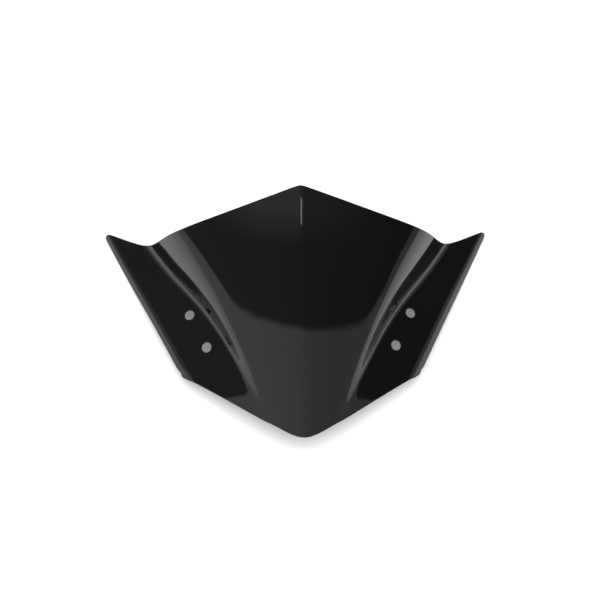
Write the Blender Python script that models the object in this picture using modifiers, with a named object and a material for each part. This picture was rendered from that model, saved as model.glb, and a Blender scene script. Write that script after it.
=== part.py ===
"""Motorcycle windshield screen: one thermoformed shell with four mounting holes, each holding a flanged bush
and a rubber damper.

Metres, +Z up. The screen lies with the outer edges of its two wings down, convex side up. X = 0 is its plane
of symmetry, +Y points to its top edge and -Y to its nose. The design lengths below are in millimetres.
"""

import math

import bmesh
import bpy
import numpy as np
from mathutils import Vector

MM = 0.001

# Outline, seen from above.
TOP_Y = 101.2
TOP_EDGE_SLOPE = 0.371
TOP_PEAK_ROUNDING = 2.6
TOP_EDGE_BEND = 0.0009
# Where the top edge turns upwards: X, change of slope, and how gradually it turns.
TOP_EDGE_TURNS = ((111.7, 0.62, 4.0), (150.0, -0.08, 5.0))
NOSE_Y = -113.1
NOSE_EDGE_SLOPE = 0.678
NOSE_ROUNDING = 13.5
SIDE_FOOT = (113.1, -39.5)
SIDE_HEAD = (189.3, 111.5)
TIP_ROUNDING = 5.5
LOWER_CORNER_ROUNDING = 12.0

# The centreline is one arc, which leans from the top edge down to the nose.
CROWN_Z = 106.0
CENTRE_ARC_RADIUS = 640.0
TOP_TILT = math.radians(9.0)
RIDGE_SLOPE = 0.055
RIDGE_ROUNDING = 2.5

# The cross-section changes along Y. Each row below is read at these stations, from the nose to the tips.
STATIONS = (-125.0, -80.0, -35.0, 10.0, 55.0, 100.0)
SHOULDER_X = (18.0, 37.0, 57.0, 79.5, 107.0, 133.0)
VALLEY_X = (22.0, 41.5, 62.5, 87.5, 121.0, 150.0)
DOME_SLOPE = (0.22, 0.28, 0.34, 0.36, 0.33, 0.31)
STEP_SLOPE = (0.50, 1.20, 3.10, 3.50, 3.80, 3.50)
WING_SLOPE = (0.36, 0.36, 0.36, 0.36, 0.28, 0.14)
SHOULDER_SOFTNESS = (2.0, 2.0, 1.8, 3.2, 5.0, 5.5)
VALLEY_SOFTNESS = (1.2, 1.2, 1.2, 1.6, 2.6, 3.2)
ROLL_WIDTH = (7.0, 7.0, 6.5, 5.5, 5.0, 4.5)
ROLL_SLOPE = (1.20, 1.20, 1.25, 1.35, 1.50, 1.60)
ROLL_SOFTNESS = 1.8

# The formed sheet and its four mounting points.
SHEET = 3.0
HOLE_DIAMETER = 10.0
HOLES = {"upper": (102.2, 8.2), "lower": (86.4, -25.4)}
SIDES = {"left": -1, "right": 1}

# Bush: a plug that fills the hole and a flange behind it. Its blind bore takes an M5 screw from behind.
BUSH_BORE = 4.6
BUSH_FACE = 1.4
PLUG_DIAMETER = 9.4
PLUG_RECESS = 0.3
PLUG_CHAMFER = 0.3
FLANGE_DIAMETER = 17.0
FLANGE = 1.5

# Damper: a rubber washer between the sheet and the flange.
DAMPER_DIAMETER = 19.0
DAMPER_BORE = 10.0
DAMPER = 2.4
DAMPER_EDGE = 0.4
GAP = 0.4

# Fineness of the mesh: columns in each zone of the half shell, rows along it, and sides of a round piece.
COLUMNS = {"ridge": 1, "dome": 8, "step": 13, "wing": 5, "roll": 6}
ROWS = 32
SECTION_STEPS = 240
# The step's columns start before its shoulder, by less where the shoulder is near the centre, and end a few
# softnesses past its valley. The roll's columns start before the roll.
STEP_LEAD = 8.0
FULL_LEAD_X = 60.0
STEP_TAIL = 2.5
ROLL_LEAD = 6.0
MEETING_ROUNDS = 60
ROUND_SIDES = 32
HOLE_SIDES = 24


def clear_scene():
    for obj in list(bpy.data.objects):
        bpy.data.objects.remove(obj, do_unlink=True)


def new_collection(name):
    collection = bpy.data.collections.new(name)
    bpy.context.scene.collection.children.link(collection)
    return collection


def new_material(name, colour, roughness, specular=0.5):
    material = bpy.data.materials.new(name)
    material.use_nodes = True
    shader = material.node_tree.nodes["Principled BSDF"]
    shader.inputs["Base Color"].default_value = (*colour, 1.0)
    shader.inputs["Roughness"].default_value = roughness
    shader.inputs["Metallic"].default_value = 0.0
    shader.inputs["Specular IOR Level"].default_value = specular
    return material


def read_along(row, y):
    """A row of station values read at y, as a uniform cubic B-spline that ends in straight lines."""
    row = np.array([2 * row[0] - row[1], *row, 2 * row[-1] - row[-2]])
    place = (y - STATIONS[0]) / (STATIONS[1] - STATIONS[0])
    first = np.clip(np.floor(place).astype(int), 0, len(STATIONS) - 2)
    t = place - first
    weights = ((1 - t) ** 3, 3 * t**3 - 6 * t**2 + 4, -3 * t**3 + 3 * t**2 + 3 * t + 1, t**3)
    return sum(weight * row[first + i] for i, weight in enumerate(weights)) / 6


def soft_step(x, softness):
    """0 well below zero and 1 well above it."""
    return 1 / (1 + np.exp(-x / softness))


def soft_ramp(x, softness):
    """0 well below zero and x well above it: the integral of soft_step."""
    return softness * np.logaddexp(0, x / softness)


def side_x(y):
    """The outer edge: a straight line from the lower corner to the tip."""
    t = (y - SIDE_FOOT[1]) / (SIDE_HEAD[1] - SIDE_FOOT[1])
    return SIDE_FOOT[0] + (SIDE_HEAD[0] - SIDE_FOOT[0]) * t


def top_y(x):
    """The top edge: a peak, a nearly straight slope, a level stretch down the step, and a rise to the tip."""
    fall = TOP_EDGE_SLOPE * (np.hypot(x, TOP_PEAK_ROUNDING) - TOP_PEAK_ROUNDING)
    rise = TOP_EDGE_BEND * x**2
    for turn_x, turn, softness in TOP_EDGE_TURNS:
        rise = rise + turn * soft_ramp(x - turn_x, softness)
    return TOP_Y - fall + rise


def nose_y(x):
    """The bottom edge: straight from the lower corner to a rounded nose."""
    return NOSE_Y + NOSE_EDGE_SLOPE * (np.hypot(x, NOSE_ROUNDING) - NOSE_ROUNDING)


def centre_z(y):
    lean = math.sin(TOP_TILT) + (TOP_Y - y) / CENTRE_ARC_RADIUS
    return CROWN_Z - CENTRE_ARC_RADIUS * (math.cos(TOP_TILT) - np.sqrt(1 - lean**2))


def section_slope(x, y):
    """How steeply the section falls outwards at x: ridge, dome, step, wing, and the rolled outer edge."""
    shoulder, shoulder_softness = read_along(SHOULDER_X, y), read_along(SHOULDER_SOFTNESS, y)
    valley, valley_softness = read_along(VALLEY_X, y), read_along(VALLEY_SOFTNESS, y)
    dome = read_along(DOME_SLOPE, y)
    step = read_along(STEP_SLOPE, y)
    wing = read_along(WING_SLOPE, y)
    roll = read_along(ROLL_SLOPE, y)
    roll_start = side_x(y) - read_along(ROLL_WIDTH, y)
    ridge = RIDGE_SLOPE * x / np.hypot(x, RIDGE_ROUNDING)
    on_dome = dome * (shoulder - soft_ramp(shoulder - x, shoulder_softness)) / shoulder
    into_step = (step - dome - RIDGE_SLOPE) * soft_step(x - shoulder, shoulder_softness)
    out_of_step = (step - wing) * soft_step(x - valley, valley_softness)
    rolled = (roll - wing) * soft_step(x - roll_start, ROLL_SOFTNESS)
    return ridge + on_dome + into_step - out_of_step + rolled


def skin_z(x, y):
    """Height of the outer face over (x, y), for x from 0 outwards: the slope, added up from the centreline."""
    fractions = np.linspace(0, 1, SECTION_STEPS + 1)
    slopes = section_slope(x[..., None] * fractions, y[..., None] + 0 * fractions)
    mean_slope = (slopes[..., 1:] + slopes[..., :-1]).mean(axis=-1) / 2
    return centre_z(y) - mean_slope * x


def skin_normal(x, y):
    reach = 0.5
    around_x = np.array([x - reach, x + reach, x, x])
    around_y = np.array([y, y, y - reach, y + reach])
    west, east, south, north = skin_z(around_x, around_y)
    return Vector((west - east, south - north, 2 * reach)).normalized()


def zone_lines(y):
    """The X of the lines that the columns of the mesh follow: centre, ridge, shoulder, valley, roll and edge."""
    shoulder = read_along(SHOULDER_X, y)
    valley = read_along(VALLEY_X, y)
    edge = side_x(y)
    return [
        0 * y,
        RIDGE_ROUNDING + 0 * y,
        shoulder - STEP_LEAD * np.clip(shoulder / FULL_LEAD_X, 0, 1),
        valley + STEP_TAIL * read_along(VALLEY_SOFTNESS, y),
        edge - ROLL_LEAD - read_along(ROLL_WIDTH, y),
        edge,
    ]


def column_x(s, y):
    """X at y of the mesh line that is the fraction s of the way across the columns."""
    counts = np.array([0, *COLUMNS.values()])
    breaks = np.cumsum(counts) / counts.sum()
    lines = zone_lines(y)
    x = 0 * y
    for i in range(len(lines) - 1):
        share = np.clip((s - breaks[i]) / (breaks[i + 1] - breaks[i]), 0, 1)
        x = x + share * (lines[i + 1] - lines[i])
    return x


def meeting_y(s, edge_y, start):
    """Y where column s meets an edge of the outline."""
    y = start + 0 * s
    for _ in range(MEETING_ROUNDS):
        y = (y + edge_y(column_x(s, y))) / 2
    return y


def round_corner(x, y, corner, toward_side, toward_edge, reach):
    """Pulls the points near a corner of the outline inside a curve that leaves both edges at the distance reach.

    toward_side and toward_edge are the directions of the two edges, away from the corner.
    """
    edges = np.array([toward_side, toward_edge]).T
    edges = edges / np.linalg.norm(edges, axis=0)
    along = np.linalg.inv(edges) @ np.array([x - corner[0], y - corner[1]])
    near = np.clip(1 - along / reach, 0, 1)
    pull = near.max(axis=0) / np.maximum(np.hypot(*near), 1e-9)
    inside = near.min(axis=0) > 0
    shift = edges @ (reach * near * (1 - np.where(inside, pull, 1)))
    return x + shift[0], y + shift[1]


def edge_direction(edge_y, x, toward):
    """Direction in plan of an edge y = edge_y(x) at x, on the side that toward points to."""
    return toward, edge_y(x + toward) - edge_y(x)


def side_direction(y, toward):
    return side_x(y + toward) - side_x(y), toward


def round_tip(x, y):
    tip_y = float(meeting_y(np.array([1.0]), top_y, TOP_Y)[0])
    tip = (side_x(tip_y), tip_y)
    return round_corner(x, y, tip, side_direction(tip_y, -1), edge_direction(top_y, tip[0], -1), TIP_ROUNDING)


def round_lower_corner(x, y):
    foot = (side_x(SIDE_FOOT[1]), float(nose_y(SIDE_FOOT[0])))
    inward = edge_direction(nose_y, foot[0], -1)
    return round_corner(x, y, foot, side_direction(foot[1], 1), inward, LOWER_CORNER_ROUNDING)


def half_skin(s, t):
    """(x, y, z) in millimetres of the right half's outer face, at s from centre to edge and t from nose to top."""
    low = meeting_y(s, nose_y, NOSE_Y)
    high = meeting_y(s, top_y, TOP_Y)
    y = low + (high - low) * t
    x = column_x(s, y)
    x, y = round_tip(x, y)
    x, y = round_lower_corner(x, y)
    return x, y, skin_z(x, y)


def add_mesh_object(name, bm, material, collection):
    mesh = bpy.data.meshes.new(name)
    bm.to_mesh(mesh)
    bm.free()
    mesh.materials.append(material)
    obj = bpy.data.objects.new(name, mesh)
    collection.objects.link(obj)
    return obj


def hole_frame(level, side):
    """Where a hole's axis meets the outer face, in metres, and the outward direction there."""
    x, y = HOLES[level]
    z = float(skin_z(np.array([x]), np.array([y]))[0])
    normal = skin_normal(x, y)
    return Vector((side * x, y, z)) * MM, Vector((side * normal.x, normal.y, normal.z))


def screen_panel(collection, cutters, material):
    """The shell: a half skin on a grid, mirrored, thickened inwards, and drilled."""
    bm = bmesh.new()
    columns = sum(COLUMNS.values())
    bmesh.ops.create_grid(bm, x_segments=columns, y_segments=ROWS, size=0.5)
    s = np.array([vert.co.x + 0.5 for vert in bm.verts])
    t = np.array([vert.co.y + 0.5 for vert in bm.verts])
    x, y, z = half_skin(s, t)
    for i, vert in enumerate(bm.verts):
        vert.co = Vector((x[i], y[i], z[i])) * MM
    panel = add_mesh_object("screen_panel", bm, material, collection)
    panel.data.shade_smooth()

    mirror = panel.modifiers.new("Other half", "MIRROR")
    mirror.use_clip = True
    mirror.merge_threshold = 0.0001
    thicken = panel.modifiers.new("Sheet", "SOLIDIFY")
    thicken.thickness = SHEET * MM
    thicken.offset = -1
    thicken.use_even_offset = True
    for level in HOLES:
        for side_name, side in SIDES.items():
            drill = panel.modifiers.new(f"Hole {level} {side_name}", "BOOLEAN")
            drill.operation = "DIFFERENCE"
            drill.solver = "EXACT"
            drill.object = hole_cutter(level, side_name, side, cutters)
    return panel


def hole_cutter(level, side_name, side, cutters):
    place, normal = hole_frame(level, side)
    bm = bmesh.new()
    bmesh.ops.create_cone(
        bm,
        cap_ends=True,
        segments=HOLE_SIDES,
        radius1=HOLE_DIAMETER / 2 * MM,
        radius2=HOLE_DIAMETER / 2 * MM,
        depth=4 * SHEET * MM,
    )
    mesh = bpy.data.meshes.new(f"drill_{level}_{side_name}")
    bm.to_mesh(mesh)
    bm.free()
    cutter = bpy.data.objects.new(mesh.name, mesh)
    cutter.location = place
    cutter.rotation_euler = normal.to_track_quat("Z", "Y").to_euler()
    cutter.hide_render = True
    cutter.display_type = "WIRE"
    cutters.objects.link(cutter)
    return cutter


def turned_mesh(name, profile, material):
    """A mesh holding a profile of (radius, height) points in millimetres, to be turned about Z.

    A profile that ends on the axis is left open there, and any other is closed.
    """
    mesh = bpy.data.meshes.new(name)
    points = [(radius * MM, 0.0, height * MM) for radius, height in profile]
    edges = [(i, i + 1) for i in range(len(points) - 1)]
    if profile[-1][0] > 0:
        edges.append((len(points) - 1, 0))
    mesh.from_pydata(points, edges, [])
    mesh.materials.append(material)
    return mesh


def turned_object(name, mesh, place, normal, collection):
    obj = bpy.data.objects.new(name, mesh)
    obj.location = place
    obj.rotation_euler = normal.to_track_quat("Z", "Y").to_euler()
    collection.objects.link(obj)
    turn = obj.modifiers.new("Turn", "SCREW")
    turn.steps = ROUND_SIDES
    turn.render_steps = ROUND_SIDES
    turn.use_merge_vertices = True
    turn.merge_threshold = 0.00001
    turn.use_smooth_shade = True
    return obj


def bush_profile():
    """From the centre of the plug's front face down its side, round the flange, and up the blind bore."""
    bore = BUSH_BORE / 2
    plug = PLUG_DIAMETER / 2
    flange = FLANGE_DIAMETER / 2
    front = -PLUG_RECESS
    flange_front = -(SHEET + GAP + DAMPER + GAP)
    flange_rear = flange_front - FLANGE
    return [
        (0, front),
        (plug - PLUG_CHAMFER, front),
        (plug, front - PLUG_CHAMFER),
        (plug, flange_front),
        (flange, flange_front),
        (flange, flange_rear),
        (bore, flange_rear),
        (bore, front - BUSH_FACE),
        (0, front - BUSH_FACE),
    ]


def damper_profile():
    """A washer with its outer edges taken off, from its front face round to its bore."""
    bore = DAMPER_BORE / 2
    rim = DAMPER_DIAMETER / 2
    front = -(SHEET + GAP)
    rear = front - DAMPER
    return [
        (rim - DAMPER_EDGE, front),
        (rim, front - DAMPER_EDGE),
        (rim, rear + DAMPER_EDGE),
        (rim - DAMPER_EDGE, rear),
        (bore, rear),
        (bore, front),
    ]


def mounting_set(collection, nylon, rubber):
    """A bush and a damper at each of the four holes."""
    bush = turned_mesh("bush", bush_profile(), nylon)
    damper = turned_mesh("damper", damper_profile(), rubber)
    for level in HOLES:
        for side_name, side in SIDES.items():
            place, normal = hole_frame(level, side)
            turned_object(f"bush_{level}_{side_name}", bush, place, normal, collection)
            turned_object(f"damper_{level}_{side_name}", damper, place, normal, collection)


def stand_on_floor(panel, collection):
    """Moves every piece so that the shell's lowest point is at Z = 0 and its length is centred on Y = 0."""
    bpy.context.view_layer.update()
    evaluated = panel.evaluated_get(bpy.context.evaluated_depsgraph_get())
    points = [vert.co.copy() for vert in evaluated.to_mesh().vertices]
    evaluated.to_mesh_clear()
    front = min(point.y for point in points)
    rear = max(point.y for point in points)
    stand = bpy.data.objects.new("stand", None)
    collection.objects.link(stand)
    stand.location = (0, -(front + rear) / 2, -min(point.z for point in points))
    return stand


def main():
    clear_scene()
    parts = new_collection("windshield_screen")
    cutters = new_collection("cutters")
    black = new_material("gloss_black_plastic", (0.006, 0.006, 0.007), 0.06)
    nylon = new_material("grey_nylon", (0.14, 0.14, 0.138), 0.45)
    rubber = new_material("black_rubber", (0.02, 0.02, 0.02), 0.75, 0.3)
    panel = screen_panel(parts, cutters, black)
    mounting_set(parts, nylon, rubber)
    stand = stand_on_floor(panel, parts)
    for obj in [*parts.objects, *cutters.objects]:
        if obj != stand:
            obj.parent = stand


main()
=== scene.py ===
"""Looks of the windshield screen: a finer shell, bushes and dampers in place of the CAD ones, and the studio.

Design lengths are in millimetres, as in the CAD; everything is built in metres, +Z up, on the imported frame.
"""

import math

import bmesh
import bpy
import numpy as np
from mathutils import Matrix, Vector


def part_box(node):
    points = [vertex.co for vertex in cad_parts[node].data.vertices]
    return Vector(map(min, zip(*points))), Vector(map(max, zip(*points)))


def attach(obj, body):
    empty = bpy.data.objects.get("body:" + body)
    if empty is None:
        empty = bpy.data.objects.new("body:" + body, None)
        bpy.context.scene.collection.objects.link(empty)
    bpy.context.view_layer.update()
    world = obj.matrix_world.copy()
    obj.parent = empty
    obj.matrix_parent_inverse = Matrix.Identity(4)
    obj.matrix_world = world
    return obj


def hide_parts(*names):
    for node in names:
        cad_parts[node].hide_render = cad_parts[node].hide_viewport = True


MM = 0.001

# Outline, seen from above.
TOP_Y = 101.2
TOP_EDGE_SLOPE = 0.371
TOP_PEAK_ROUNDING = 2.6
TOP_EDGE_BEND = 0.0009
# Where the top edge changes direction: X, change of slope, and how gradually it turns.
TOP_EDGE_TURNS = ((111.7, 0.62, 4.0), (150.0, -0.08, 5.0))
NOSE_Y = -113.1
NOSE_EDGE_SLOPE = 0.678
NOSE_ROUNDING = 13.5
SIDE_FOOT = (113.1, -39.5)
SIDE_HEAD = (189.3, 111.5)
# The tips are rounded 1.1 mm more than the coarser CAD shell, which keeps the fine shell inside its box.
TIP_ROUNDING = 6.6
LOWER_CORNER_ROUNDING = 12.0

# The centreline is one arc, which leans from the top edge down to the nose.
CROWN_Z = 106.0
CENTRE_ARC_RADIUS = 640.0
TOP_TILT = math.radians(9.0)
RIDGE_SLOPE = 0.055
RIDGE_ROUNDING = 2.5

# The cross-section changes along Y. Each row below is read at these stations, from the nose to the tips.
STATIONS = (-125.0, -80.0, -35.0, 10.0, 55.0, 100.0)
SHOULDER_X = (18.0, 37.0, 57.0, 79.5, 107.0, 133.0)
VALLEY_X = (22.0, 41.5, 62.5, 87.5, 121.0, 150.0)
DOME_SLOPE = (0.22, 0.28, 0.34, 0.36, 0.33, 0.31)
STEP_SLOPE = (0.50, 1.20, 3.10, 3.50, 3.80, 3.50)
WING_SLOPE = (0.36, 0.36, 0.36, 0.36, 0.28, 0.14)
SHOULDER_SOFTNESS = (2.0, 2.0, 1.8, 3.2, 5.0, 5.5)
VALLEY_SOFTNESS = (1.2, 1.2, 1.2, 1.6, 2.6, 3.2)
ROLL_WIDTH = (7.0, 7.0, 6.5, 5.5, 5.0, 4.5)
ROLL_SLOPE = (1.20, 1.20, 1.25, 1.35, 1.50, 1.60)
ROLL_SOFTNESS = 1.8

# The formed sheet and its four mounting points.
SHEET = 3.0
EDGE_ROUNDING = 0.4
HOLE_DIAMETER = 10.0
HOLE_SIDES = 96
HOLE_CHAMFER = 0.3
DRILL_OVERRUN = 1.0
# Deburring rounds edges sharper than the first angle. Edges sharper than the second are shaded as creases.
DEBURRED_ANGLE = math.radians(50)
CREASE_ANGLE = math.radians(35)
DEBURR_STEPS = 3
HOLES = {"upper": (102.2, 8.2), "lower": (86.4, -25.4)}
SIDES = {"left": -1, "right": 1}

# Bush and damper, from the outer face of the sheet inwards.
BUSH_BORE = 4.6
BUSH_FACE = 1.4
# The plug closes the hole just below the outer face. This is painted shade: a grey face standing where the
# shadowed table would show through.
PLUG_DIAMETER = 9.4
PLUG_RECESS = 0.3
FLANGE_DIAMETER = 17.0
FLANGE = 1.5
DAMPER_DIAMETER = 19.0
DAMPER_BORE = 10.0
DAMPER = 2.4
GAP = 0.4
ROUND_SIDES = 96
# The moulding line round the damper.
MOULD_LINE_HALF_HEIGHT = 0.12
MOULD_LINE_DEPTH = 0.1

# Fineness of the shell's mesh.
COLUMNS = {"ridge": 4, "dome": 56, "step": 60, "wing": 24, "roll": 20}
ROWS = 150
SECTION_STEPS = 240
# The step's columns start before its shoulder, by less where the shoulder is near the centre, and end a few
# softnesses past its valley. The roll's columns start before the roll.
STEP_LEAD = 8.0
FULL_LEAD_X = 60.0
STEP_TAIL = 2.5
ROLL_LEAD = 6.0
MEETING_ROUNDS = 60
# Metres within which points are joined: at the mirror's seam, in the drills, and on a turned piece's axis.
SEAM_WELD = 0.00005
DRILL_WELD = 0.000002
TURNED_WELD = 0.000005

# The camera looks down on the screen from in front of the nose and a little to the left.
CAMERA_AIM = (0.0, 0.0, 60.0)
CAMERA_DISTANCE = 1.08
CAMERA_SIDEWAYS = math.radians(2.8)
CAMERA_FORWARDS = math.radians(27.0)
CAMERA_ROLL = math.radians(1.97)
CAMERA_LENS = 72.1
CAMERA_SHIFT = (-0.0033, 0.0133)

ACRYLIC_IOR = 1.49

# The room, as the gloss shows it. Spans are ranges of a reflected direction's X, Y or Z.
WINDOW_HALF_ANGLE = math.radians(74.5)
# The window reaches further back at the sides, and a little more on the left.
WINDOW_BOW = 0.15
WINDOW_LEAN = 0.03
WINDOW_SOFTNESS = 0.015
# The window is brighter on the left.
WINDOW_LIGHT = (1.0, 0.6)
WINDOW_LIGHT_SPAN = (-0.5, 0.5)
# Pale lower walls, up to this height in the direction's Z, and how bright.
DADO_TOP = (0.34, 0.5)
DADO_LIGHT = 0.5
# The ceiling dims from left to right. Behind the screen it glows, most of all on the left.
CEILING_LIGHT = (0.22, 0.08)
CEILING_SPAN = (-0.7, 0.7)
REAR_GLOW = (0.38, 0.1)
REAR_GLOW_SPAN = (-0.05, 0.16)
REAR_GLOW_START_Y = (0.03, 0.18)
REAR_GLOW_START_Z = (0.85, 0.95)


def read_along(row, y):
    """A row of station values read at y, as a uniform cubic B-spline that ends in straight lines."""
    row = np.array([2 * row[0] - row[1], *row, 2 * row[-1] - row[-2]])
    place = (y - STATIONS[0]) / (STATIONS[1] - STATIONS[0])
    first = np.clip(np.floor(place).astype(int), 0, len(STATIONS) - 2)
    t = place - first
    weights = ((1 - t) ** 3, 3 * t**3 - 6 * t**2 + 4, -3 * t**3 + 3 * t**2 + 3 * t + 1, t**3)
    return sum(weight * row[first + i] for i, weight in enumerate(weights)) / 6


def soft_step(x, softness):
    """0 well below zero and 1 well above it."""
    return 1 / (1 + np.exp(-x / softness))


def soft_ramp(x, softness):
    """0 well below zero and x well above it: the integral of soft_step."""
    return softness * np.logaddexp(0, x / softness)


def side_x(y):
    """The outer edge: a straight line from the lower corner to the tip."""
    t = (y - SIDE_FOOT[1]) / (SIDE_HEAD[1] - SIDE_FOOT[1])
    return SIDE_FOOT[0] + (SIDE_HEAD[0] - SIDE_FOOT[0]) * t


def top_y(x):
    """The top edge: a peak, a slope that eases outwards, and a rise to the tip."""
    fall = TOP_EDGE_SLOPE * (np.hypot(x, TOP_PEAK_ROUNDING) - TOP_PEAK_ROUNDING)
    rise = TOP_EDGE_BEND * x**2
    for turn_x, turn, softness in TOP_EDGE_TURNS:
        rise = rise + turn * soft_ramp(x - turn_x, softness)
    return TOP_Y - fall + rise


def nose_y(x):
    """The bottom edge: straight from the lower corner to a rounded nose."""
    return NOSE_Y + NOSE_EDGE_SLOPE * (np.hypot(x, NOSE_ROUNDING) - NOSE_ROUNDING)


def centre_z(y):
    """Height of the centreline, which is one arc."""
    lean = math.sin(TOP_TILT) + (TOP_Y - y) / CENTRE_ARC_RADIUS
    return CROWN_Z - CENTRE_ARC_RADIUS * (math.cos(TOP_TILT) - np.sqrt(1 - lean**2))


def section_slope(x, y):
    """How steeply the section falls outwards at x: ridge, dome, step, wing, and the rolled outer edge."""
    shoulder = read_along(SHOULDER_X, y)
    shoulder_softness = read_along(SHOULDER_SOFTNESS, y)
    valley = read_along(VALLEY_X, y)
    valley_softness = read_along(VALLEY_SOFTNESS, y)
    dome = read_along(DOME_SLOPE, y)
    step = read_along(STEP_SLOPE, y)
    wing = read_along(WING_SLOPE, y)
    roll = read_along(ROLL_SLOPE, y)
    roll_start = side_x(y) - read_along(ROLL_WIDTH, y)
    ridge = RIDGE_SLOPE * x / np.hypot(x, RIDGE_ROUNDING)
    on_dome = dome * (shoulder - soft_ramp(shoulder - x, shoulder_softness)) / shoulder
    into_step = (step - dome - RIDGE_SLOPE) * soft_step(x - shoulder, shoulder_softness)
    out_of_step = (step - wing) * soft_step(x - valley, valley_softness)
    rolled = (roll - wing) * soft_step(x - roll_start, ROLL_SOFTNESS)
    return ridge + on_dome + into_step - out_of_step + rolled


def skin_z(x, y):
    """Height of the outer face over (x, y), x from 0 outwards: the slope, added up from the centreline."""
    fractions = np.linspace(0, 1, SECTION_STEPS + 1)
    slopes = section_slope(x[..., None] * fractions, y[..., None] + 0 * fractions)
    mean_slope = (slopes[..., 1:] + slopes[..., :-1]).mean(axis=-1) / 2
    return centre_z(y) - mean_slope * x


def skin_normal(x, y):
    """The outward direction square to the outer face at one point."""
    reach = 0.5
    around_x = np.array([x - reach, x + reach, x, x])
    around_y = np.array([y, y, y - reach, y + reach])
    west, east, south, north = skin_z(around_x, around_y)
    return Vector((west - east, south - north, 2 * reach)).normalized()


def zone_lines(y):
    """X of the lines that the mesh's columns follow: centre, ridge, shoulder, valley, roll and edge."""
    shoulder = read_along(SHOULDER_X, y)
    valley = read_along(VALLEY_X, y)
    edge = side_x(y)
    return [
        0 * y,
        RIDGE_ROUNDING + 0 * y,
        shoulder - STEP_LEAD * np.clip(shoulder / FULL_LEAD_X, 0, 1),
        valley + STEP_TAIL * read_along(VALLEY_SOFTNESS, y),
        edge - ROLL_LEAD - read_along(ROLL_WIDTH, y),
        edge,
    ]


def column_x(s, y):
    """X at y of the mesh line that is the fraction s of the way across the columns."""
    counts = np.array([0, *COLUMNS.values()])
    breaks = np.cumsum(counts) / counts.sum()
    lines = zone_lines(y)
    x = 0 * y
    for i in range(len(lines) - 1):
        share = np.clip((s - breaks[i]) / (breaks[i + 1] - breaks[i]), 0, 1)
        x = x + share * (lines[i + 1] - lines[i])
    return x


def meeting_y(s, edge_y, start):
    """Y where column s meets an edge of the outline."""
    y = start + 0 * s
    for _ in range(MEETING_ROUNDS):
        y = (y + edge_y(column_x(s, y))) / 2
    return y


def round_corner(x, y, corner, toward_side, toward_edge, reach):
    """Pulls the points near a corner inside a curve that leaves both edges at the distance reach.

    toward_side and toward_edge are the directions of the two edges, away from the corner.
    """
    edges = np.array([toward_side, toward_edge]).T
    edges = edges / np.linalg.norm(edges, axis=0)
    along = np.linalg.inv(edges) @ np.array([x - corner[0], y - corner[1]])
    near = np.clip(1 - along / reach, 0, 1)
    pull = near.max(axis=0) / np.maximum(np.hypot(*near), 1e-9)
    inside = near.min(axis=0) > 0
    shift = edges @ (reach * near * (1 - np.where(inside, pull, 1)))
    return x + shift[0], y + shift[1]


def edge_direction(edge_y, x, toward):
    """Direction in plan of an edge y = edge_y(x) at x, on the side that toward points to."""
    return toward, edge_y(x + toward) - edge_y(x)


def side_direction(y, toward):
    """Direction in plan of the outer edge at y, on the side that toward points to."""
    return side_x(y + toward) - side_x(y), toward


def round_tip(x, y):
    tip_y = float(meeting_y(np.array([1.0]), top_y, TOP_Y)[0])
    tip = (side_x(tip_y), tip_y)
    return round_corner(x, y, tip, side_direction(tip_y, -1), edge_direction(top_y, tip[0], -1), TIP_ROUNDING)


def round_lower_corner(x, y):
    foot = (side_x(SIDE_FOOT[1]), float(nose_y(SIDE_FOOT[0])))
    inward = edge_direction(nose_y, foot[0], -1)
    return round_corner(x, y, foot, side_direction(foot[1], 1), inward, LOWER_CORNER_ROUNDING)


def half_skin(s, t):
    """(x, y, z) of the right half's outer face, at s from centre to edge and t from nose to top."""
    low = meeting_y(s, nose_y, NOSE_Y)
    high = meeting_y(s, top_y, TOP_Y)
    y = low + (high - low) * t
    x = column_x(s, y)
    x, y = round_tip(x, y)
    x, y = round_lower_corner(x, y)
    return x, y, skin_z(x, y)


# ---- materials ----


class NodeGraph:
    """A short way to add and link shader nodes in one tree."""

    def __init__(self, tree):
        self.tree = tree

    def add(self, kind, **settings):
        node = self.tree.nodes.new(kind)
        for name, value in settings.items():
            setattr(node, name, value)
        return node

    def link(self, source, target):
        self.tree.links.new(source, target)

    def noise(self, place, scale, detail=2.0, roughness=0.5):
        node = self.add("ShaderNodeTexNoise")
        node.inputs["Scale"].default_value = scale
        node.inputs["Detail"].default_value = detail
        node.inputs["Roughness"].default_value = roughness
        self.link(place, node.inputs["Vector"])
        return node.outputs["Fac"]

    def spread(self, value, low, high, to_low, to_high):
        """value from low to high becomes to_low to to_high, clamped."""
        node = self.add("ShaderNodeMapRange")
        self.link(value, node.inputs["Value"])
        node.inputs["From Min"].default_value = low
        node.inputs["From Max"].default_value = high
        node.inputs["To Min"].default_value = to_low
        node.inputs["To Max"].default_value = to_high
        return node.outputs["Result"]

    def blend(self, factor, first, second):
        node = self.add("ShaderNodeMix", data_type="RGBA")
        self.link(factor, node.inputs["Factor"])
        node.inputs["A"].default_value = (*first, 1)
        node.inputs["B"].default_value = (*second, 1)
        return node.outputs["Result"]

    def maths(self, operation, first, second):
        node = self.add("ShaderNodeMath", operation=operation)
        for socket, value in zip(node.inputs, (first, second)):
            if isinstance(value, (int, float)):
                socket.default_value = value
            else:
                self.link(value, socket)
        return node.outputs["Value"]

    def bump(self, height, distance, below=None):
        node = self.add("ShaderNodeBump")
        node.inputs["Strength"].default_value = 1.0
        node.inputs["Distance"].default_value = distance
        self.link(height, node.inputs["Height"])
        if below is not None:
            self.link(below, node.inputs["Normal"])
        return node.outputs["Normal"]


def new_material(name):
    """A material, its graph, its Principled shader, and the object's own coordinates in metres."""
    material = bpy.data.materials.new(name)
    material.use_nodes = True
    graph = NodeGraph(material.node_tree)
    shader = material.node_tree.nodes["Principled BSDF"]
    place = graph.add("ShaderNodeTexCoord").outputs["Object"]
    return material, graph, shader, place


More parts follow.
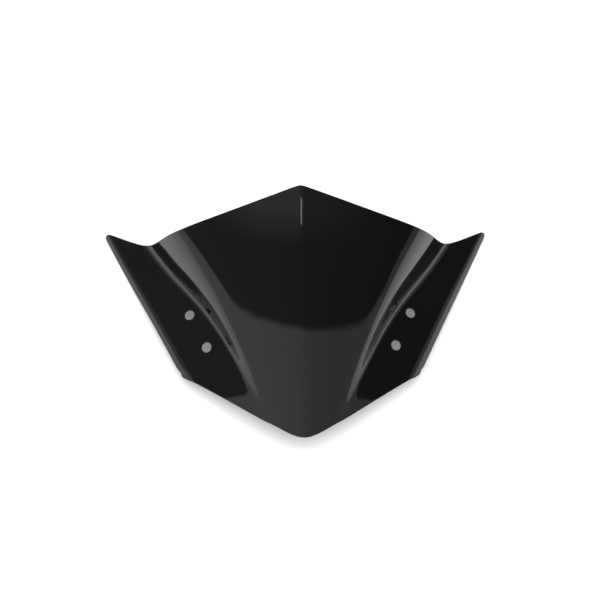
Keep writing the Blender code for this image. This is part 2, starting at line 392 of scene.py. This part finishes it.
def gloss_black():
    """Polished black acrylic: faint waviness, wipe marks in the gloss, and a little settled dust."""
    clean = (0.0018, 0.0018, 0.0021)
    dusty = (0.05, 0.05, 0.048)
    material, graph, shader, place = new_material("gloss_black_acrylic")
    shader.inputs["IOR"].default_value = ACRYLIC_IOR
    wipe = graph.noise(place, scale=14.0, detail=3.0)
    haze = graph.noise(place, scale=420.0, detail=2.0)
    roughness = graph.maths(
        "ADD",
        graph.spread(wipe, 0.35, 0.7, 0.03, 0.06),
        graph.spread(haze, 0.4, 0.8, 0, 0.02),
    )
    graph.link(roughness, shader.inputs["Roughness"])
    specks = graph.add("ShaderNodeTexVoronoi", feature="F1")
    specks.inputs["Scale"].default_value = 260.0
    graph.link(place, specks.inputs["Vector"])
    dust = graph.maths(
        "MULTIPLY",
        graph.spread(specks.outputs["Distance"], 0.03, 0.07, 1, 0),
        graph.spread(graph.noise(place, scale=55.0), 0.52, 0.72, 0, 0.5),
    )
    graph.link(graph.blend(dust, clean, dusty), shader.inputs["Base Color"])
    wave = graph.bump(graph.noise(place, scale=22.0, detail=0.0), 0.00006)
    ripple = graph.bump(graph.noise(place, scale=70.0, detail=1.0), 0.00003, wave)
    peel = graph.bump(graph.noise(place, scale=260.0, detail=1.0), 0.0000012, ripple)
    graph.link(peel, shader.inputs["Normal"])
    return material


def cut_edge():
    """The trimmed rim of the sheet: the same black plastic, satin from the cutter."""
    dark = (0.004, 0.004, 0.005)
    scraped = (0.016, 0.016, 0.017)
    material, graph, shader, place = new_material("cut_black_acrylic")
    shader.inputs["IOR"].default_value = ACRYLIC_IOR
    grain = graph.noise(place, scale=900.0, detail=3.0)
    graph.link(graph.blend(grain, dark, scraped), shader.inputs["Base Color"])
    graph.link(graph.spread(grain, 0.3, 0.7, 0.22, 0.4), shader.inputs["Roughness"])
    graph.link(graph.bump(grain, 0.00003), shader.inputs["Normal"])
    return material


def nylon_grey_painted_shade():
    """Moulded nylon: slightly mottled, satin, with a fine eroded-mould texture. Its grey is painted shade,
    set to the shadowed tabletop that shows through an open hole.
    """
    # Painted shade: the grey level stands for the shadowed table seen through a hole. Only the mottle between
    # these two greys is the nylon's own.
    dark = (0.12, 0.12, 0.118)
    pale = (0.16, 0.16, 0.157)
    material, graph, shader, place = new_material("moulded_nylon_grey_painted_shade")
    mottle = graph.noise(place, scale=180.0, detail=3.0)
    graph.link(graph.blend(mottle, dark, pale), shader.inputs["Base Color"])
    texture = graph.noise(place, scale=2400.0, detail=2.0)
    graph.link(graph.spread(texture, 0.3, 0.7, 0.38, 0.55), shader.inputs["Roughness"])
    graph.link(graph.bump(texture, 0.00001), shader.inputs["Normal"])
    shader.inputs["Subsurface Weight"].default_value = 0.1
    shader.inputs["Subsurface Radius"].default_value = (0.001, 0.001, 0.001)
    shader.inputs["Subsurface Scale"].default_value = 0.5
    return material


def black_rubber():
    """Matte rubber with a fine grain and a grey bloom."""
    bare = (0.012, 0.012, 0.012)
    bloomed = (0.035, 0.035, 0.034)
    material, graph, shader, place = new_material("matte_black_rubber")
    bloom = graph.noise(place, scale=240.0, detail=4.0)
    graph.link(graph.blend(bloom, bare, bloomed), shader.inputs["Base Color"])
    grain = graph.noise(place, scale=3000.0, detail=2.0)
    graph.link(graph.spread(grain, 0.3, 0.7, 0.68, 0.85), shader.inputs["Roughness"])
    graph.link(graph.bump(grain, 0.00002), shader.inputs["Normal"])
    return material


# ---- pieces ----


def new_object(name, bm, materials):
    mesh = bpy.data.meshes.new(name)
    bm.to_mesh(mesh)
    bm.free()
    for material in materials:
        mesh.materials.append(material)
    obj = bpy.data.objects.new(name, mesh)
    bpy.context.scene.collection.objects.link(obj)
    return obj


def frame_offset():
    """From the design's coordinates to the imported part's: the crown and the nose fix it."""
    low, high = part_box("screen_panel")
    return Vector((0, low[1] - NOSE_Y * MM, high[2] - CROWN_Z * MM))


def hole_frame(level, side, offset):
    """Where a hole's axis meets the outer face, in metres, and the outward direction there."""
    x, y = HOLES[level]
    z = float(skin_z(np.array([x]), np.array([y]))[0])
    normal = skin_normal(x, y)
    return Vector((side * x, y, z)) * MM + offset, Vector((side * normal.x, normal.y, normal.z))


def drills(offset):
    """The cutter for all four holes: a drill for each, flared where it meets the sheet's faces."""
    radius = HOLE_DIAMETER / 2
    flared = radius + HOLE_CHAMFER + DRILL_OVERRUN
    profile = [
        (0, DRILL_OVERRUN),
        (flared, DRILL_OVERRUN),
        (radius, -HOLE_CHAMFER),
        (radius, HOLE_CHAMFER - SHEET),
        (flared, -SHEET - DRILL_OVERRUN),
        (0, -SHEET - DRILL_OVERRUN),
    ]
    bm = bmesh.new()
    for level in HOLES:
        for side in SIDES.values():
            place, normal = hole_frame(level, side, offset)
            turn = normal.to_track_quat("Z", "Y").to_matrix()
            points = [bm.verts.new(place + turn @ Vector((r, 0, z)) * MM) for r, z in profile]
            edges = [bm.edges.new(pair) for pair in zip(points, points[1:])]
            bmesh.ops.spin(bm, geom=points + edges, cent=place, axis=normal, angle=math.tau, steps=HOLE_SIDES)
    bmesh.ops.remove_doubles(bm, verts=bm.verts, dist=DRILL_WELD)
    bmesh.ops.recalc_face_normals(bm, faces=bm.faces)
    return new_object("drills", bm, [])


def fine_shell(offset, face_material, rim_material):
    """The formed sheet at full fineness, with its rim softened by deburring and its holes drilled."""
    bm = bmesh.new()
    bmesh.ops.create_grid(bm, x_segments=sum(COLUMNS.values()), y_segments=ROWS, size=0.5)
    s = np.array([vert.co.x + 0.5 for vert in bm.verts])
    t = np.array([vert.co.y + 0.5 for vert in bm.verts])
    x, y, z = half_skin(s, t)
    for i, vert in enumerate(bm.verts):
        vert.co = Vector((x[i], y[i], z[i])) * MM + offset
    shell = new_object("shell", bm, [face_material, rim_material])
    shell.data.shade_smooth()
    mirror = shell.modifiers.new("Other half", "MIRROR")
    mirror.use_clip = True
    mirror.merge_threshold = SEAM_WELD
    thicken = shell.modifiers.new("Sheet", "SOLIDIFY")
    thicken.thickness = SHEET * MM
    thicken.offset = -1
    thicken.use_even_offset = True
    thicken.material_offset_rim = 1
    soften = shell.modifiers.new("Deburr", "BEVEL")
    soften.limit_method = "ANGLE"
    soften.angle_limit = DEBURRED_ANGLE
    soften.width = EDGE_ROUNDING * MM
    soften.segments = DEBURR_STEPS
    soften.use_clamp_overlap = False
    drill = shell.modifiers.new("Holes", "BOOLEAN")
    drill.solver = "EXACT"
    drill.object = drills(offset)
    return apply_modifiers(shell)


def apply_modifiers(obj):
    """Turns an object's modifiers into plain mesh, and removes the cutter they used."""
    graph = bpy.context.evaluated_depsgraph_get()
    mesh = bpy.data.meshes.new_from_object(obj.evaluated_get(graph))
    cutters = [modifier.object for modifier in obj.modifiers if modifier.type == "BOOLEAN"]
    obj.modifiers.clear()
    obj.data = mesh
    mesh.set_sharp_from_angle(angle=CREASE_ANGLE)
    for cutter in cutters:
        bpy.data.objects.remove(cutter, do_unlink=True)
    return obj


def turned_piece(name, profile, place, normal, material):
    """A profile of (radius, height, rounding) points, with its corners rounded, turned about its axis.

    A profile that ends on the axis is left open there, and any other is closed.
    """
    mesh = bpy.data.meshes.new(name)
    points = rounded(profile)
    edges = [(i, i + 1) for i in range(len(points) - 1)]
    if profile[-1][0] > 0:
        edges.append((len(points) - 1, 0))
    mesh.from_pydata([(radius * MM, 0.0, height * MM) for radius, height in points], edges, [])
    mesh.materials.append(material)
    obj = bpy.data.objects.new(name, mesh)
    obj.location = place
    obj.rotation_euler = normal.to_track_quat("Z", "Y").to_euler()
    bpy.context.scene.collection.objects.link(obj)
    turn = obj.modifiers.new("Turn", "SCREW")
    turn.steps = ROUND_SIDES
    turn.render_steps = ROUND_SIDES
    turn.use_merge_vertices = True
    turn.merge_threshold = TURNED_WELD
    turn.use_smooth_shade = True
    crisp = obj.modifiers.new("Flat faces stay flat", "WEIGHTED_NORMAL")
    crisp.keep_sharp = False
    return obj


def rounded(profile, steps=4):
    """Each corner of the profile replaced by a short arc-like curve that starts at its rounding distance."""
    corners = [np.array(point[:2]) for point in profile]
    points = []
    for i, (corner, spec) in enumerate(zip(corners, profile)):
        if spec[2] == 0:
            points.append(corner)
            continue
        before = corners[i - 1] - corner
        after = corners[(i + 1) % len(corners)] - corner
        start = corner + before / np.linalg.norm(before) * spec[2]
        end = corner + after / np.linalg.norm(after) * spec[2]
        for t in np.linspace(0, 1, steps + 1):
            points.append((1 - t) ** 2 * start + 2 * t * (1 - t) * corner + t**2 * end)
    return points


def bush_profile():
    """A plug with a flange behind it and a blind bore from the rear, as (radius, height, rounding) points.
    Its closed grey front is painted shade: it stands where the shadowed table would show through the hole.
    """
    bore = BUSH_BORE / 2
    plug = PLUG_DIAMETER / 2
    flange = FLANGE_DIAMETER / 2
    front = -PLUG_RECESS
    flange_front = -(SHEET + GAP + DAMPER + GAP)
    flange_rear = flange_front - FLANGE
    return [
        (0, front, 0),
        (plug, front, 0.3),
        (plug, flange_front, 0.15),
        (flange, flange_front, 0.25),
        (flange, flange_rear, 0.35),
        (bore, flange_rear, 0.2),
        (bore, front - BUSH_FACE, 0.2),
        (0, front - BUSH_FACE, 0),
    ]


def damper_profile():
    """A rubber washer with a moulding line round its rim, as (radius, height, rounding) points."""
    bore = DAMPER_BORE / 2
    rim = DAMPER_DIAMETER / 2
    front = -(SHEET + GAP)
    rear = front - DAMPER
    middle = (front + rear) / 2
    return [
        (rim, front, 0.5),
        (rim, middle + MOULD_LINE_HALF_HEIGHT, 0.02),
        (rim + MOULD_LINE_DEPTH, middle, 0.03),
        (rim, middle - MOULD_LINE_HALF_HEIGHT, 0.02),
        (rim, rear, 0.5),
        (bore, rear, 0.2),
        (bore, front, 0.2),
    ]


def mounting_sets(offset, nylon, rubber):
    """The bush and the damper in each of the four holes."""
    for level in HOLES:
        for side_name, side in SIDES.items():
            place, normal = hole_frame(level, side, offset)
            bush = turned_piece(f"bush_{level}_{side_name}_fine", bush_profile(), place, normal, nylon)
            damper = turned_piece(f"damper_{level}_{side_name}_fine", damper_profile(), place, normal, rubber)
            stand_for(bush, f"bush_{level}_{side_name}")
            stand_for(damper, f"damper_{level}_{side_name}")


def stand_for(piece, node):
    """Puts a piece on the root body, in place of the CAD node, which it hides."""
    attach(piece, "root")
    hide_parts(node)


# ---- studio ----


def floor():
    """A wide white tabletop, half a millimetre below the part."""
    half_width = 4.0
    drop = 0.0005
    grey_white = (0.86, 0.86, 0.86)
    white = (0.88, 0.88, 0.88)
    material, graph, shader, place = new_material("white_tabletop")
    tone = graph.noise(place, scale=3.0, detail=2.0)
    graph.link(graph.blend(tone, grey_white, white), shader.inputs["Base Color"])
    shader.inputs["Roughness"].default_value = 0.9
    shader.inputs["Specular IOR Level"].default_value = 0.1
    bm = bmesh.new()
    bmesh.ops.create_grid(bm, x_segments=1, y_segments=1, size=half_width)
    top = new_object("floor", bm, [material])
    top.location.z = -drop


def room():
    """A dim room with one wide white window in front of the nose. The camera sees plain white instead."""
    world = bpy.data.worlds.new("room")
    world.use_nodes = True
    bpy.context.scene.world = world
    graph = NodeGraph(world.node_tree)
    direction = graph.add("ShaderNodeTexCoord").outputs["Generated"]
    parts = graph.add("ShaderNodeSeparateXYZ")
    graph.link(direction, parts.inputs["Vector"])
    rim = -math.cos(WINDOW_HALF_ANGLE)
    sideways = parts.outputs["X"]
    bow = graph.maths("MULTIPLY", graph.maths("MULTIPLY", sideways, sideways), -WINDOW_BOW)
    lean = graph.maths("MULTIPLY", sideways, WINDOW_LEAN)
    depth = graph.maths("ADD", parts.outputs["Y"], graph.maths("ADD", bow, lean))
    window = graph.maths(
        "MULTIPLY",
        graph.spread(sideways, *WINDOW_LIGHT_SPAN, *WINDOW_LIGHT),
        graph.spread(depth, rim - WINDOW_SOFTNESS, rim + WINDOW_SOFTNESS, 1, 0),
    )
    dado = graph.spread(parts.outputs["Z"], *DADO_TOP, DADO_LIGHT, 0)
    ceiling = graph.spread(sideways, *CEILING_SPAN, *CEILING_LIGHT)
    behind = graph.maths(
        "MULTIPLY",
        graph.spread(parts.outputs["Y"], *REAR_GLOW_START_Y, 0, 1),
        graph.spread(parts.outputs["Z"], *REAR_GLOW_START_Z, 0, 1),
    )
    glow = graph.maths("MULTIPLY", behind, graph.spread(sideways, *REAR_GLOW_SPAN, *REAR_GLOW))
    ceiling = graph.maths("ADD", ceiling, glow)
    seen = graph.add("ShaderNodeLightPath").outputs["Is Camera Ray"]
    walls = graph.maths("MAXIMUM", window, dado)
    above = graph.maths("MAXIMUM", ceiling, seen)
    light = graph.maths("MAXIMUM", walls, above)
    background = world.node_tree.nodes["Background"]
    graph.link(light, background.inputs["Color"])
    background.inputs["Strength"].default_value = 1.0


def softbox(name, azimuth, elevation, distance, size, power, colour=(1, 1, 1), in_gloss=True):
    """A rectangular light that faces a point just above the table.

    Azimuth is measured from -Y towards +X, in degrees.
    """
    target = Vector((0, 0, 0.05))
    light = bpy.data.lights.new(name, "AREA")
    light.shape = "RECTANGLE"
    light.size, light.size_y = size
    light.energy = power
    light.color = colour
    obj = bpy.data.objects.new(name, light)
    around = math.radians(azimuth)
    up = math.radians(elevation)
    away = Vector((math.sin(around) * math.cos(up), -math.cos(around) * math.cos(up), math.sin(up)))
    obj.location = away * distance + target
    obj.rotation_euler = away.to_track_quat("Z", "Y").to_euler()
    obj.visible_camera = False
    obj.visible_glossy = in_gloss
    bpy.context.scene.collection.objects.link(obj)


def studio():
    floor()
    room()
    softbox("overhead", azimuth=0, elevation=90, distance=4.0, size=(7.0, 7.0), power=394, in_gloss=False)
    softbox(
        "ceiling_lamp",
        azimuth=166,
        elevation=78,
        distance=1.6,
        size=(0.09, 0.18),
        power=0.16,
        colour=(0.75, 0.87, 1.0),
    )


def camera(offset):
    back = Vector(
        (
            -math.sin(CAMERA_SIDEWAYS),
            -math.sin(CAMERA_FORWARDS) * math.cos(CAMERA_SIDEWAYS),
            math.cos(CAMERA_FORWARDS) * math.cos(CAMERA_SIDEWAYS),
        )
    )
    right = Vector((0, 1, 0)).cross(back).normalized()
    turn = Matrix((right, back.cross(right), back)).transposed() @ Matrix.Rotation(-CAMERA_ROLL, 3, "Z")
    data = bpy.data.cameras.new("camera")
    data.lens = CAMERA_LENS
    data.shift_x, data.shift_y = CAMERA_SHIFT
    data.clip_end = 50
    obj = bpy.data.objects.new("camera", data)
    aim = Vector(CAMERA_AIM) * MM + offset
    obj.matrix_world = Matrix.Translation(aim + back * CAMERA_DISTANCE) @ turn.to_4x4()
    bpy.context.scene.collection.objects.link(obj)
    bpy.context.scene.camera = obj


def corners(box):
    return [list(corner) for corner in box]


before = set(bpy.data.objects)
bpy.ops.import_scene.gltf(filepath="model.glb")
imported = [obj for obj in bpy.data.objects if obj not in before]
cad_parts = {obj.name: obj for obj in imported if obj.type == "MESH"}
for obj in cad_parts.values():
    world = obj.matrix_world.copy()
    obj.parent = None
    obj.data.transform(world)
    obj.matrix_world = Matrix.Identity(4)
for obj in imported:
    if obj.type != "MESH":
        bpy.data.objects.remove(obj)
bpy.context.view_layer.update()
bpy.context.scene.view_settings.view_transform = "Standard"
shift = frame_offset()
camera(shift)
studio()
stand_for(fine_shell(shift, gloss_black(), cut_edge()), "screen_panel")
mounting_sets(shift, nylon_grey_painted_shade(), black_rubber())
